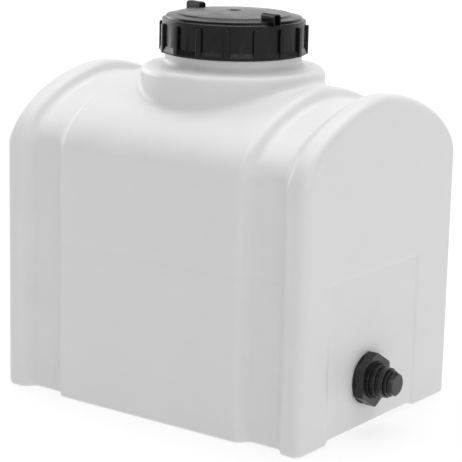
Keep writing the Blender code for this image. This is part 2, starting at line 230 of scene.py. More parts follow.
def turned(name: str, outline: Outline, steps: int, phase: float = 0.0) -> bpy.types.Object:
    """Spins an outline about Z.

    Args:
        name: Name of the object.
        outline: Points (radius, height). It is closed, or starts and ends on the axis.
        steps: Sides of the turned shape.
        phase: Angle of the outline, which is a corner of a shape with few sides.

    Returns:
        The turned object.
    """
    points = [Vector((r * math.cos(phase), r * math.sin(phase), z)) for r, z in outline]
    obj = wire(name, points, closed=outline[0][0] > 0)
    with editing(obj):
        bpy.ops.mesh.spin(steps=steps, angle=2 * math.pi, center=(0, 0, 0), axis=(0, 0, 1))
    return close_up(obj)


def swept(name: str, sections: Sequence[Sequence[Vector]], ring: bool = False) -> bpy.types.Object:
    """Extrudes a section step by step and moves each new one onto its own outline.

    Args:
        name: Name of the object.
        sections: Outlines with the same number of points, in order.
        ring: Whether the last section joins the first, which leaves no ends to fill.

    Returns:
        The swept object.
    """
    obj = wire(name, sections[0], filled=not ring)
    with editing(obj):
        for section in [*sections[1:], *sections[: int(ring)]]:
            bpy.ops.mesh.extrude_region_move(TRANSFORM_OT_translate={"value": (0, 0, MM)})
            mesh = bmesh.from_edit_mesh(obj.data)
            rank = mesh.verts.layers.int[RANK]
            for vert in mesh.verts:
                if vert.select:
                    vert.co = section[vert[rank]]
            bmesh.update_edit_mesh(obj.data)
    return close_up(obj)


def thread_ridge(root: float, crest: float, start: float, turns: float, pitch: float, width: float,
                 steps: int = 64) -> bpy.types.Object:
    """Sweeps a right-hand thread ridge about Z, with ends that run out to nothing.

    Args:
        root: Radius that the ridge stands on.
        crest: Radius of its crest, inside or outside the root.
        start: Height of its first end.
        turns: Number of turns.
        pitch: Rise of one turn.
        width: Width of the ridge at its root.
        steps: Sections in one turn.

    Returns:
        The ridge.
    """
    depth = crest - root
    profile = ((-0.3, -0.5), (0.0, -0.46), (1.0, -0.2), (1.0, 0.2), (0.0, 0.46), (-0.3, 0.5))
    count = round(turns * steps)
    sections = []
    for step in range(count + 1):
        angle = 2 * math.pi * step / steps
        grown = min(1.0, 0.04 + 6 * min(step, count - step) / steps)
        section = []
        for out, up in profile:
            radius = root + depth * (out * grown if out > 0 else out)
            height = start + pitch * step / steps + up * width * (0.4 + 0.6 * grown)
            section.append(Vector((radius * math.cos(angle), radius * math.sin(angle), height)))
        sections.append(section)
    return swept("thread_ridge", sections)


def block(name: str, low: Vector, high: Vector) -> bpy.types.Object:
    """Adds a cube and sizes it to a box.

    Args:
        name: Name of the object.
        low: Lowest corner.
        high: Highest corner.

    Returns:
        The box.
    """
    bpy.ops.mesh.primitive_cube_add(size=1, location=(low + high) / 2, scale=high - low)
    obj = bpy.context.object
    obj.name = name
    return settle(obj)


def round_edges(obj: bpy.types.Object, radius: float, segments: int,
                wanted: Callable[[bmesh.types.BMEdge], bool]) -> None:
    """Bevels the edges that a test picks.

    Args:
        obj: The object.
        radius: Width of the bevel.
        segments: Faces across it.
        wanted: Says whether an edge is to be rounded.
    """
    with editing(obj) as mesh:
        bpy.ops.mesh.select_mode(type="EDGE")
        bpy.ops.mesh.select_all(action="DESELECT")
        for edge in mesh.edges:
            edge.select = wanted(edge)
        bmesh.update_edit_mesh(obj.data)
        bpy.ops.mesh.bevel(offset=radius, segments=segments, affect="EDGES")
        bpy.ops.mesh.select_mode(type="VERT")


def apply_modifier(obj: bpy.types.Object, modifier: bpy.types.Modifier) -> None:
    """Applies one modifier.

    Args:
        obj: The object that holds it.
        modifier: The modifier.
    """
    select_only(obj)
    bpy.ops.object.modifier_apply(modifier=modifier.name)


def combine(obj: bpy.types.Object, how: Join, *others: bpy.types.Object) -> None:
    """Joins, cuts or keeps with other pieces, which are then removed.

    Args:
        obj: The object that stays.
        how: What happens to it.
        others: The pieces that it is combined with, one by one.
    """
    for other in others:
        modifier = obj.modifiers.new(other.name, "BOOLEAN")
        modifier.operation = how.value
        modifier.solver = "EXACT"
        modifier.object = other
        apply_modifier(obj, modifier)
        bpy.data.objects.remove(other)


def copies_round(obj: bpy.types.Object, angles: Sequence[float]) -> bpy.types.Object:
    """Copies a piece round Z and joins the copies.

    Args:
        obj: The piece, modelled at angle 0. It becomes the first copy.
        angles: Angles of the copies.

    Returns:
        All the copies in one object.
    """
    copies = [obj]
    for _ in angles[1:]:
        copy = obj.copy()
        copy.data = obj.data.copy()
        bpy.context.collection.objects.link(copy)
        copies.append(copy)
    for copy, angle in zip(copies, angles):
        copy.rotation_euler.z = angle
        settle(copy)
    select_only(obj)
    for copy in copies:
        copy.select_set(True)
    bpy.ops.object.join()
    return obj


def finish_piece(obj: bpy.types.Object, node: str, body: Body, material: bpy.types.Material,
                 smooth: float = 30.0) -> None:
    """Cleans a piece, shades it, gives it its finish and puts it on its body in place of its CAD node.

    Args:
        obj: The piece.
        node: The CAD node that it stands for.
        body: The body that it rides on.
        material: Its finish.
        smooth: Angle in degrees below which neighbouring faces are shaded as one surface.
    """
    close_up(obj)
    select_only(obj)
    bpy.ops.object.shade_smooth_by_angle(angle=math.radians(smooth))
    weighted = obj.modifiers.new("weighted_normals", "WEIGHTED_NORMAL")
    weighted.mode = "FACE_AREA"
    weighted.keep_sharp = True
    apply_modifier(obj, weighted)
    obj.data.materials.clear()
    obj.data.materials.append(material)
    settle(obj)
    obj.name = f"{node}_detailed"
    obj.data.name = obj.name
    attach(obj, body.value)
    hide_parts(node)
    log.info("%s: %d faces", obj.name, len(obj.data.polygons))


# ------------------------------------------------------------------ finishes


def linear(colour: str) -> tuple[float, float, float, float]:
    """Turns an sRGB colour into the linear one that shaders take.

    Args:
        colour: Six hex digits after a hash.

    Returns:
        Linear red, green, blue and alpha.
    """
    parts = [int(colour[place : place + 2], 16) / 255 for place in (1, 3, 5)]
    red, green, blue = (c / 12.92 if c <= 0.04045 else ((c + 0.055) / 1.055) ** 2.4 for c in parts)
    return red, green, blue, 1.0


def add_node(tree: bpy.types.NodeTree, kind: str, settings: dict[str, object],
             inputs: dict[str | int, object]) -> bpy.types.Node:
    """Adds a node with its settings and its inputs.

    Args:
        tree: The node tree.
        kind: Type of the node.
        settings: Options of the node.
        inputs: A value or the socket to link from, for each input's name or number.

    Returns:
        The node.
    """
    node = tree.nodes.new(kind)
    for name, value in settings.items():
        setattr(node, name, value)
    for name, value in inputs.items():
        if isinstance(value, bpy.types.NodeSocket):
            tree.links.new(value, node.inputs[name])
        else:
            node.inputs[name].default_value = value
    return node


@dataclass(frozen=True)
class Finish:
    """A moulded surface whose tone, gloss and grain vary a little.

    Attributes:
        name: Name of the material.
        tone: Its main colour.
        tone_shade: The colour of its darker clouds.
        cloud: Size of the clouds in metres.
        roughness: Lowest and highest roughness, in the same clouds.
        grain: Size of the surface grain in metres.
        grain_depth: Depth of the grain in metres.
        specular: Specular level.
        ior: Index of refraction.
        depth: How far light travels in the material, in metres, or 0 for an opaque one.
        depth_share: Share of the light that travels in it.
    """

    name: str
    tone: str
    tone_shade: str
    cloud: float
    roughness: tuple[float, float]
    grain: float
    grain_depth: float
    specular: float
    ior: float
    depth: float = 0.0
    depth_share: float = 0.0

    def made(self) -> bpy.types.Material:
        """Builds the material's nodes.

        Returns:
            The material.
        """
        material = bpy.data.materials.new(self.name)
        material.use_nodes = True
        tree = material.node_tree
        shader = tree.nodes["Principled BSDF"]
        place = add_node(tree, "ShaderNodeTexCoord", {}, {}).outputs["Object"]
        clouds = add_node(tree, "ShaderNodeTexNoise", {}, {
            "Vector": place, "Scale": 1 / self.cloud, "Detail": 3.0, "Roughness": 0.55,
        }).outputs["Fac"]
        tone = add_node(tree, "ShaderNodeMix", {"data_type": "RGBA"}, {
            "Factor": clouds, 6: linear(self.tone_shade), 7: linear(self.tone),
        }).outputs[2]
        gloss = add_node(tree, "ShaderNodeMapRange", {}, {
            "Value": clouds, "From Min": 0.3, "From Max": 0.7,
            "To Min": self.roughness[0], "To Max": self.roughness[1],
        }).outputs["Result"]
        grain = add_node(tree, "ShaderNodeTexNoise", {}, {
            "Vector": place, "Scale": 1 / self.grain, "Detail": 2.0, "Roughness": 0.5,
        }).outputs["Fac"]
        bump = add_node(tree, "ShaderNodeBump", {}, {
            "Strength": 1.0, "Distance": self.grain_depth, "Height": grain,
        }).outputs["Normal"]
        tree.links.new(tone, shader.inputs["Base Color"])
        tree.links.new(gloss, shader.inputs["Roughness"])
        tree.links.new(bump, shader.inputs["Normal"])
        shader.inputs["Specular IOR Level"].default_value = self.specular
        shader.inputs["IOR"].default_value = self.ior
        shader.inputs["Subsurface Weight"].default_value = self.depth_share
        shader.inputs["Subsurface Radius"].default_value = (1.0, 0.99, 0.97)
        shader.inputs["Subsurface Scale"].default_value = self.depth
        return material


# Natural polyethylene, rotationally moulded: milky, a little translucent, satin, with a fine grain
# from the mould and faint clouds where the wall's thickness varies.
NATURAL_POLYETHYLENE = Finish(
    name="natural_polyethylene", tone="#E5E5E5", tone_shade="#DFDFDF", cloud=45 * MM,
    roughness=(0.36, 0.46), grain=1.6 * MM, grain_depth=0.02 * MM, specular=0.5, ior=1.51,
    depth=4 * MM, depth_share=0.25,
)

# Black polypropylene, injection moulded: a dull satin black that turns grey at a glancing angle.
BLACK_POLYPROPYLENE = Finish(
    name="black_polypropylene", tone="#100F11", tone_shade="#0A090B", cloud=22 * MM,
    roughness=(0.24, 0.34), grain=0.9 * MM, grain_depth=0.006 * MM, specular=0.24, ior=1.49,
)

# The fitting's polypropylene is glass filled: a little greyer, with a coarser grain.
FILLED_POLYPROPYLENE = Finish(
    name="glass_filled_polypropylene", tone="#1D1C1D", tone_shade="#141314", cloud=12 * MM,
    roughness=(0.26, 0.38), grain=0.8 * MM, grain_depth=0.008 * MM, specular=0.5, ior=1.49,
)

# Black nylon for the vent's stem, smooth from its mould.
VENT_NYLON = Finish(
    name="vent_nylon", tone="#151515", tone_shade="#0F0F10", cloud=8 * MM,
    roughness=(0.28, 0.38), grain=0.6 * MM, grain_depth=0.006 * MM, specular=0.5, ior=1.53,
)

# Black nitrile rubber, moulded: matt, and the darkest surface here.
NITRILE_RUBBER = Finish(
    name="nitrile_rubber", tone="#131313", tone_shade="#0D0D0D", cloud=10 * MM,
    roughness=(0.62, 0.78), grain=0.7 * MM, grain_depth=0.02 * MM, specular=0.4, ior=1.52,
)


# ------------------------------------------------------------------ tank shell


@dataclass
class TankShell:
    """The one-piece shell: domed body with strap recesses, end panels, feet, boss and threaded neck."""

    half_length: float = field(default_factory=lambda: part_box("tank_shell")[1].x)
    half_width: float = field(default_factory=lambda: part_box("tank_shell")[1].y)
    rim_z: float = field(default_factory=lambda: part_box("tank_shell")[1].z)
    spring_z: float = 282 * MM
    crown_z: float = 360 * MM
    dome_exponent: float = 1.71
    wall: float = 4.5 * MM
    edge_round: float = 10.5 * MM
    foot_round: float = 4 * MM
    foot_edge_share: float = 0.4
    recess_depth: float = 12 * MM
    flange_edge: float = 178.6 * MM
    recess_outer: float = 169.5 * MM
    recess_inner: float = 130.4 * MM
    middle_edge: float = 121.2 * MM
    recess_round: float = 11 * MM
    seam_z: float = 176 * MM
    seam_height: float = 0.3 * MM
    panel_centre: float = -12.3 * MM
    panel_half_width: float = 88 * MM
    panel_depth: float = 1.5 * MM
    panel_edge: float = 3.4 * MM
    relief_height: float = 7 * MM
    relief_start: float = 171 * MM
    boss_radius: float = 101.5 * MM
    boss_shoulder: float = 8 * MM
    boss_foot: float = 9 * MM
    boss_steps: int = 160
    plateau_z: float = 372.5 * MM
    collar_radius: float = 75.4 * MM
    collar_fillet: float = 8 * MM
    collar_top_z: float = 386.2 * MM
    neck_radius: float = 71.8 * MM
    neck_bore: float = 67.5 * MM
    hole_radius: float = 17.6 * MM

    def dome_point(self, angle: float, inset: float) -> tuple[float, float]:
        """Finds a point of the dome's arch.

        Args:
            angle: 0 at the spring and a right angle at the crown.
            inset: How far the arch is pulled in.

        Returns:
            Its y and z.
        """
        power = 2 / self.dome_exponent
        y = (self.half_width - inset) * math.cos(angle) ** power
        z = self.spring_z + (self.crown_z - self.spring_z - inset) * math.sin(angle) ** power
        return y, z

    def dome_height(self, y: float) -> float:
        """Finds the height of the dome's outside over a y."""
        share = 1 - min(1.0, abs(y) / self.half_width) ** self.dome_exponent
        return self.spring_z + (self.crown_z - self.spring_z) * share ** (1 / self.dome_exponent)

    def section(self, x: float, inset: float, floor: float, steps: int) -> list[Vector]:
        """Draws the cross-section at one place along the tank.

        Args:
            x: Place along the tank.
            inset: How far the sides and the dome are pulled in.
            floor: Height of the underside.
            steps: Points on each side of the dome.

        Returns:
            The closed outline, from under one foot over the dome to under the other.
        """
        foot = self.half_width - inset
        low = floor + self.foot_round
        half: Outline = []
        for step in range(8):
            turn = math.pi / 2 * step / 8
            across, down = 1 - math.sin(turn), math.cos(turn)
            half.append((foot - self.foot_round * across, low - self.foot_round * down))
        seam = self.seam_height if steps > 30 else 0.0
        rises = ((0, 0), (60, 0), (120, 0), (-0.9, 0), (-0.35, 0.75), (0, 1), (0.35, 0.75), (0.9, 0))
        for rise, share in rises:
            z = (self.seam_z if abs(rise) < 1 and len(half) > 10 else low) + rise * MM
            half.append((foot + share * seam, z))
        half += [(foot, z) for z in (215 * MM, 250 * MM)]
        half += [self.dome_point(math.pi / 2 * step / steps, inset) for step in range(steps)]
        outline = [*half, (0.0, self.crown_z - inset), *((-y, z) for y, z in reversed(half))]
        return [Vector((x, y, z)) for y, z in outline]

    def outside(self) -> bpy.types.Object:
        """Sweeps the outside from end to end and cuts the panels and reliefs of both ends.

        Returns:
            The solid body without its boss.
        """
        depth = self.recess_depth
        soft = self.recess_round
        half = rounded([
            (self.half_length, self.edge_round, 0),
            (self.half_length, 0, self.edge_round * 0.999),
            (self.flange_edge, 0, soft),
            (self.recess_outer, depth, soft),
            (self.recess_inner, depth, soft),
            (self.middle_edge, 0, soft),
            (90 * MM, 0, 0), (60 * MM, 0, 0), (30 * MM, 0, 0), (10 * MM, 0, 0),
        ], closed=False)
        flat_end = self.half_length - self.edge_round
        sections = []
        for x, inset in [*half, *((-x, inset) for x, inset in reversed(half))]:
            floor = inset * self.foot_edge_share if abs(x) > flat_end else 0.0
            sections.append(self.section(x, inset, floor, 56))
        body = swept("shell_body", sections)
        for end in (1, -1):
            combine(body, Join.CUT, self.panel_cutter(end), self.relief_cutter(end))
        return body

    def panel_cutter(self, end: int) -> bpy.types.Object:
        """Builds the cutter of one end's panel, whose walls ease from its floor into the end face.

        Args:
            end: 1 for the fitting's end and -1 for the other.

        Returns:
            The cutter.
        """
        face = self.half_length
        sections = []
        for step in range(9):
            share = step / 8
            rise = (1 - math.cos(math.pi * share)) / 2
            spread = self.panel_edge * (2 * share - 1)
            sections.append((face - self.panel_depth + 1.02 * self.panel_depth * rise, spread))
        sections.append((face + 10 * MM, self.panel_edge))
        return swept("panel_cutter", [self.panel_outline(end * x, spread) for x, spread in sections])

    def panel_outline(self, x: float, spread: float) -> list[Vector]:
        """Draws the panel's outline at one depth.

        Args:
            x: Place along the tank.
            spread: How far its sides and top are moved outwards.

        Returns:
            The closed outline.
        """
        left = self.panel_centre - self.panel_half_width - spread
        right = self.panel_centre + self.panel_half_width + spread
        top = self.seam_z + spread
        soft = 6 * MM + spread
        low = -10 * MM
        outline = rounded([(left, low, 0), (right, low, 0), (right, top, soft), (left, top, soft)])
        return [Vector((x, y, z)) for y, z in outline]

    def relief_cutter(self, end: int) -> bpy.types.Object:
        """Builds the cutter of the relief between the feet, with one steep and one gentle side.

        Args:
            end: 1 for the fitting's end and -1 for the other.

        Returns:
            The cutter.
        """
        left = self.panel_centre - self.panel_half_width
        right = self.panel_centre + self.panel_half_width
        high = self.relief_height
        outline = rounded([
            (left - 5 * MM, -6 * MM, 0),
            (right + 24 * MM, -6 * MM, 0),
            (right - 9 * MM, high, 12 * MM),
            (left + 4.5 * MM, high, 4 * MM),
        ])
        stations = ((self.relief_start, 0.1), (self.relief_start + 1.2 * MM, 0.5),
                    (self.relief_start + 3.5 * MM, 0.85), (self.relief_start + 7 * MM, 1.0),
                    (self.half_length + 10 * MM, 1.0))
        return swept("relief_cutter", [
            [Vector((end * x, y, z * share if z > 0 else z)) for y, z in outline] for x, share in stations
        ])

    def boss_section(self, angle: float) -> list[Vector]:
        """Draws the boss, collar and neck at one angle, with a foot that eases into the dome.

        Args:
            angle: Angle about the neck's axis.

        Returns:
            The closed section, from inside the neck outwards and back.
        """
        shoulder, foot = self.boss_shoulder, self.boss_foot
        hub = Vector((self.boss_radius - shoulder, self.plateau_z - shoulder))
        across = math.sin(angle)
        centre = Vector((self.boss_radius + foot, 0))
        slope = 0.0
        for _ in range(30):
            height = self.dome_height(centre.x * across)
            slope = (self.dome_height((centre.x + MM) * across) - height) / MM
            centre.y = height + foot * math.sqrt(1 + slope * slope) - 0.06 * MM
            reach = (shoulder + foot) ** 2 - max(0.0, centre.y - hub.y) ** 2
            centre.x = hub.x + math.sqrt(reach)
        tilt = math.atan2(max(0.0, centre.y - hub.y), centre.x - hub.x)
        last = 1.5 * math.pi - math.atan(-slope)
        outline: Outline = [(60 * MM, self.rim_z - 1.2 * MM), (60 * MM, 300 * MM)]
        arc = [math.pi + tilt + (last - math.pi - tilt) * step / 12 for step in range(13)]
        foot_arc = [(centre.x + foot * math.cos(turn), centre.y + foot * math.sin(turn)) for turn in arc]
        outline += [(foot_arc[-1][0] + 0.6 * MM, 300 * MM), *reversed(foot_arc)]
        arc = [tilt + (math.pi / 2 - tilt) * step / 10 for step in range(11)]
        outline += [(hub.x + shoulder * math.cos(turn), hub.y + shoulder * math.sin(turn)) for turn in arc]
        outline += rounded([
            (self.boss_radius - 2 * shoulder, self.plateau_z, 0),
            (self.collar_radius, self.plateau_z, self.collar_fillet),
            (self.collar_radius, self.collar_top_z, 0.8 * MM),
            (self.neck_radius, self.collar_top_z, 0.3 * MM),
            (self.neck_radius, self.rim_z, 0.8 * MM),
            (60 * MM, self.rim_z, 0),
        ], closed=False)
        return [Vector((r * math.cos(angle), r * across, z)) for r, z in outline]

    def boss(self) -> bpy.types.Object:
        """Sweeps the boss, collar and neck round the lid's axis."""
        turn = 2 * math.pi / self.boss_steps
        return swept("boss", [self.boss_section(turn * step) for step in range(self.boss_steps)], ring=True)

    def cavity(self) -> bpy.types.Object:
        """Sweeps the space inside the body, whose floor clears the reliefs between the feet.

        Returns:
            The cutter.
        """
        wall, depth, soft = self.wall, self.recess_depth, 7 * MM
        end = self.half_length - wall
        high = self.relief_height + wall
        half = [
            (end, wall + soft, high),
            (end - soft * 0.3, wall + soft * 0.3, high),
            (end - soft, wall, high),
            (self.flange_edge + wall, wall, high),
            (self.recess_outer + wall / 2, wall + depth, high),
            (self.relief_start - wall, wall + depth, high),
            (self.recess_inner - wall / 2, wall + depth, wall),
            (self.middle_edge - wall, wall, wall),
        ]
        stations = [*half, *((-x, inset, floor) for x, inset, floor in reversed(half))]
        return swept("cavity", [self.section(x, inset, floor, 28) for x, inset, floor in stations])

    def boss_cavity(self) -> bpy.types.Object:
        """Turns the space inside the boss and the neck.

        Returns:
            The cutter.
        """
        radius = self.boss_radius - self.wall
        high = self.plateau_z - self.wall
        outline = rounded([
            (0, 313.5 * MM, 0),
            (radius, 313.5 * MM, 0),
            (radius, high, 7 * MM),
            (self.neck_bore, high, 2 * MM),
            (self.neck_bore, self.rim_z - 0.8 * MM, 0),
            (self.neck_bore + 1.2 * MM, self.rim_z + 0.4 * MM, 0),
            (self.neck_bore + 1.2 * MM, self.rim_z + 4 * MM, 0),
            (0, self.rim_z + 4 * MM, 0),
        ], closed=False)
        return turned("boss_cavity", outline, 128)

    def build(self) -> bpy.types.Object:
        """Models the whole shell.

        Returns:
            The shell in one piece.
        """
        shell = self.outside()
        combine(shell, Join.ADD, self.boss())
        combine(shell, Join.CUT, self.cavity(), self.boss_cavity())
        hole = turned("hole", [(0, self.flange_edge), (self.hole_radius, self.flange_edge),
                               (self.hole_radius, 212 * MM), (0, 212 * MM)], 64)
        combine(shell, Join.CUT, onto_fitting(hole))
        crest = self.neck_radius + THREAD_HEIGHT
        ridge = thread_ridge(self.neck_radius, crest, 394.5 * MM, THREAD_TURNS, THREAD_PITCH, THREAD_WIDTH)
        combine(shell, Join.ADD, ridge)
        return shell

    def dress(self, shell: bpy.types.Object) -> None:
        """Finishes the shell in natural polyethylene."""
        finish_piece(shell, "tank_shell", Body.TANK, NATURAL_POLYETHYLENE.made(), smooth=32)


# ------------------------------------------------------------------ lid, gasket and vent


@dataclass
class ScrewLid:
    """The ribbed screw lid with its polygonal lip, stepped top, two lugs and vent seat."""

    low_z: float = field(default_factory=lambda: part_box("lid")[0].z)
    top_z: float = field(default_factory=lambda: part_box("lid")[1].z)
    rib_radius: float = 82.2 * MM
    skirt_radius: float = 78.8 * MM
    skirt_bore: float = 75.3 * MM
    seat_z: float = 417 * MM
    edge_z: float = 424.3 * MM
    ring_z: float = 427.3 * MM
    ring_outer: float = 74.4 * MM
    ring_inner: float = 64.8 * MM
    disc_radius: float = 62 * MM
    disc_z: float = 430 * MM
    crown_z: float = 432.7 * MM
    sink_radius: float = 5.4 * MM
    sink_z: float = 430.9 * MM
    vent_bore: float = 3.2 * MM
    vent_plate_z: float = 427.5 * MM
    gasket_inner: float = 67.8 * MM
    rib_count: int = 16
    rib_width: float = 6.5 * MM
    rib_top_z: float = 419 * MM
    rib_phase: float = math.radians(8.4)
    lug_length: float = 24 * MM
    lug_width: float = 9 * MM
    lug_low_z: float = 423.6 * MM
    lug_angles: tuple[float, float] = (math.radians(-20), math.radians(164))

    def disc_height(self, radius: float) -> float:
        """Finds the height of the domed disc at a radius."""
        return self.crown_z - (self.crown_z - self.disc_z) * (radius / self.disc_radius) ** 2

    def cap(self) -> bpy.types.Object:
        """Turns the skirt and the top.

        Returns:
            The lid without its lip, ribs, lugs and thread.
        """
        skirt, disc = self.skirt_radius, self.disc_radius
        dome = [(radius * MM, self.disc_height(radius * MM), 0) for radius in (54, 48, 40, 32, 24, 16, 10)]
        raised = self.crown_z + 0.05 * MM
        outline = rounded([
            (self.skirt_bore, self.low_z, 0.4 * MM),
            (skirt, self.low_z, 0.4 * MM),
            (skirt, self.edge_z - 0.9 * MM, 0.9 * MM),
            (skirt - 3.2 * MM, self.edge_z + 0.2 * MM, 0.5 * MM),
            (self.ring_outer, self.ring_z - 0.4 * MM, 0.9 * MM),
            (self.ring_inner, self.ring_z + 1.1 * MM, 1.2 * MM),
            (disc, self.disc_z, 1.5 * MM),
            *dome,
            (8.2 * MM, self.disc_height(8.2 * MM), 0.2 * MM),
            (7.9 * MM, self.crown_z - 0.7 * MM, 0.2 * MM),
            (7.0 * MM, self.crown_z - 0.7 * MM, 0.2 * MM),
            (6.7 * MM, raised, 0.2 * MM),
            (self.sink_radius, raised, 0.4 * MM),
            (self.sink_radius, self.sink_z, 0.3 * MM),
            (self.vent_bore, self.sink_z, 0.2 * MM),
            (self.vent_bore, self.vent_plate_z, 0.2 * MM),
            (18 * MM, self.vent_plate_z, 0.8 * MM),
            (disc, self.disc_z - 4.2 * MM, 1.5 * MM),
            (self.gasket_inner - 1.5 * MM, self.seat_z, 0.5 * MM),
            (self.skirt_bore, self.seat_z, 0.3 * MM),
        ])
        return turned("lid_cap", outline, 144)

    def lip(self) -> bpy.types.Object:
        """Turns the sixteen-sided lip, which slopes out from the skirt and has a corner at each rib.

        Returns:
            The lip.
        """
        outer = self.rib_radius - 0.3 * MM
        inner = self.skirt_radius / math.cos(math.pi / self.rib_count) - 0.1 * MM
        foot, height = self.low_z + 2.6 * MM, 5.5 * MM
        outline = rounded([
            (self.skirt_radius - 1.8 * MM, self.low_z + 0.5 * MM, 0),
            (outer, self.low_z + 0.5 * MM, 0.6 * MM),
            (outer, foot, 0.4 * MM),
            (inner, foot + height, 0.3 * MM),
            (self.skirt_radius - 1.8 * MM, foot + height, 0),
        ])
        return turned("lid_lip", outline, self.rib_count, self.rib_phase)

    def ribs(self) -> bpy.types.Object:
        """Models one grip rib with a rounded top and copies it round the skirt.

        Returns:
            All the ribs in one object.
        """
        low = Vector((self.skirt_radius - 1.5 * MM, -self.rib_width / 2, self.low_z + 0.9 * MM))
        high = Vector((self.rib_radius, self.rib_width / 2, self.rib_top_z))
        rib = block("grip_ribs", low, high)
        round_edges(rib, 2.4 * MM, 6, lambda edge: all(
            vert.co.z > high.z - MM and abs(vert.co.y) > 3 * MM for vert in edge.verts
        ) and abs(edge.verts[0].co.y - edge.verts[1].co.y) < MM)
        round_edges(rib, 1.1 * MM, 4, lambda edge: all(
            vert.co.x > high.x - 0.01 * MM for vert in edge.verts
        ) and any(vert.co.z > low.z + MM for vert in edge.verts))
        turn = 2 * math.pi / self.rib_count
        return copies_round(rib, [self.rib_phase + turn * index for index in range(self.rib_count)])

    def lugs(self) -> bpy.types.Object:
        """Models one spanner lug, with a hollow outer end, and copies it to the other side.

        Returns:
            Both lugs in one object.
        """
        outer = self.rib_radius - 0.2 * MM
        low = Vector((outer - self.lug_length, -self.lug_width / 2, self.lug_low_z))
        high = Vector((outer, self.lug_width / 2, self.top_z))
        lug = block("spanner_lugs", low, high)
        round_edges(lug, 3.2 * MM, 7, lambda edge: all(vert.co.z > high.z - MM for vert in edge.verts))
        wall = 1.3 * MM
        hollow_low = Vector((outer - 8 * MM, low.y + wall, low.z + 0.9 * MM))
        hollow = block("lug_hollow", hollow_low, Vector((outer + MM, high.y - wall, high.z - 1.7 * MM)))
        round_edges(hollow, 2.3 * MM, 6, lambda edge: all(
            vert.co.z > hollow_low.z + 4 * MM for vert in edge.verts
        ) and abs(edge.verts[0].co.y - edge.verts[1].co.y) < MM)
        combine(lug, Join.CUT, hollow)
        return copies_round(lug, self.lug_angles)

    def build(self) -> bpy.types.Object:
        """Models the whole lid.

        Returns:
            The lid in one piece.
        """
        lid = self.cap()
        crest = self.skirt_bore - THREAD_HEIGHT
        ridge = thread_ridge(self.skirt_bore, crest, 391.5 * MM, THREAD_TURNS, THREAD_PITCH, THREAD_WIDTH)
        combine(lid, Join.ADD, self.lip(), self.ribs(), self.lugs(), ridge)
        return lid

    def dress(self, lid: bpy.types.Object) -> None:
        """Finishes the lid in black polypropylene. Its lip keeps the corners of its sixteen sides."""
        finish_piece(lid, "lid", Body.LID, BLACK_POLYPROPYLENE.made(), smooth=21)


@dataclass
class LidGasket:
    """The flat rubber ring between the neck's rim and the lid."""

    inner: float = 67.8 * MM
    outer: float = 74.6 * MM
    low: float = field(default_factory=lambda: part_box("lid_gasket")[0].z)
    high: float = field(default_factory=lambda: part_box("lid_gasket")[1].z)

    def build(self) -> bpy.types.Object:
        """Turns the gasket with rounded edges."""
        return turned("lid_gasket_ring", rounded([
            (self.inner, self.low, 0.6 * MM), (self.outer, self.low, 0.6 * MM),
            (self.outer, self.high, 0.6 * MM), (self.inner, self.high, 0.6 * MM),
        ]), 96)

    def dress(self, gasket: bpy.types.Object) -> None:
        """Finishes the gasket in rubber."""
        finish_piece(gasket, "lid_gasket", Body.LID_SEAL, NITRILE_RUBBER.made())


@dataclass
class Vent:
    """The vent's stem with its dished head, and the rubber flap that hangs on its foot."""

    stem_low: float = field(default_factory=lambda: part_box("vent_poppet")[0].z)
    head_top: float = field(default_factory=lambda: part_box("vent_poppet")[1].z)
    flap_low: float = field(default_factory=lambda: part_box("vent_flap")[0].z)
    flap_high: float = field(default_factory=lambda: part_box("vent_flap")[1].z)
    stem: float = 2.4 * MM
    head: float = 4.6 * MM
    head_height: float = 1.2 * MM
    foot_height: float = 1.4 * MM
    flap_radius: float = 15 * MM

    def build(self) -> tuple[bpy.types.Object, bpy.types.Object]:
        """Turns the stem and the flap.

        Returns:
            The stem and the flap.
        """
        head_low = self.head_top - self.head_height
        foot_top = self.stem_low + self.foot_height
        stem = turned("vent_stem", rounded([
            (0, self.stem_low, 0), (self.head, self.stem_low, 0.4 * MM), (self.head, foot_top, 0.3 * MM),
            (self.stem, foot_top, 0.2 * MM), (self.stem, head_low, 0.2 * MM), (self.head, head_low, 0.3 * MM),
            (self.head, self.head_top, 0.3 * MM), (4.1 * MM, self.head_top, 0.1 * MM),
            (3.8 * MM, self.head_top - 0.95 * MM, 0.2 * MM), (0, self.head_top - 0.95 * MM, 0),
        ], closed=False), 48)
        flap = turned("vent_flap_disc", rounded([
            (self.stem + GAP, self.flap_low, 0.3 * MM),
            (self.flap_radius, self.flap_low + 0.3 * MM, 0.5 * MM),
            (self.flap_radius, self.flap_high, 0.5 * MM),
            (self.flap_radius - 3 * MM, self.flap_high, 0),
            (self.flap_radius - 3.6 * MM, self.flap_high - 0.4 * MM, 0),
            (6 * MM, self.flap_high - 0.4 * MM, 0),
            (5 * MM, self.flap_high, 0),
            (self.stem + GAP, self.flap_high, 0.3 * MM),
        ]), 64)
        return stem, flap

    def dress(self, stem: bpy.types.Object, flap: bpy.types.Object) -> None:
        """Finishes the stem in nylon and the flap in rubber."""
        finish_piece(stem, "vent_poppet", Body.VENT, VENT_NYLON.made())
        finish_piece(flap, "vent_flap", Body.VENT, NITRILE_RUBBER.made())


# ------------------------------------------------------------------ bulkhead fitting and plug


def onto_fitting(obj: bpy.types.Object) -> bpy.types.Object:
    """Turns a piece that was made about Z onto the fitting's axis, where its z becomes the tank's x.

    Args:
        obj: The piece.

    Returns:
        The same piece in its place.
    """
    low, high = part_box("outer_washer")
    obj.rotation_euler = (0, math.pi / 2, 0)
    obj.location = (0, (low.y + high.y) / 2, (low.z + high.z) / 2)
    return settle(obj)


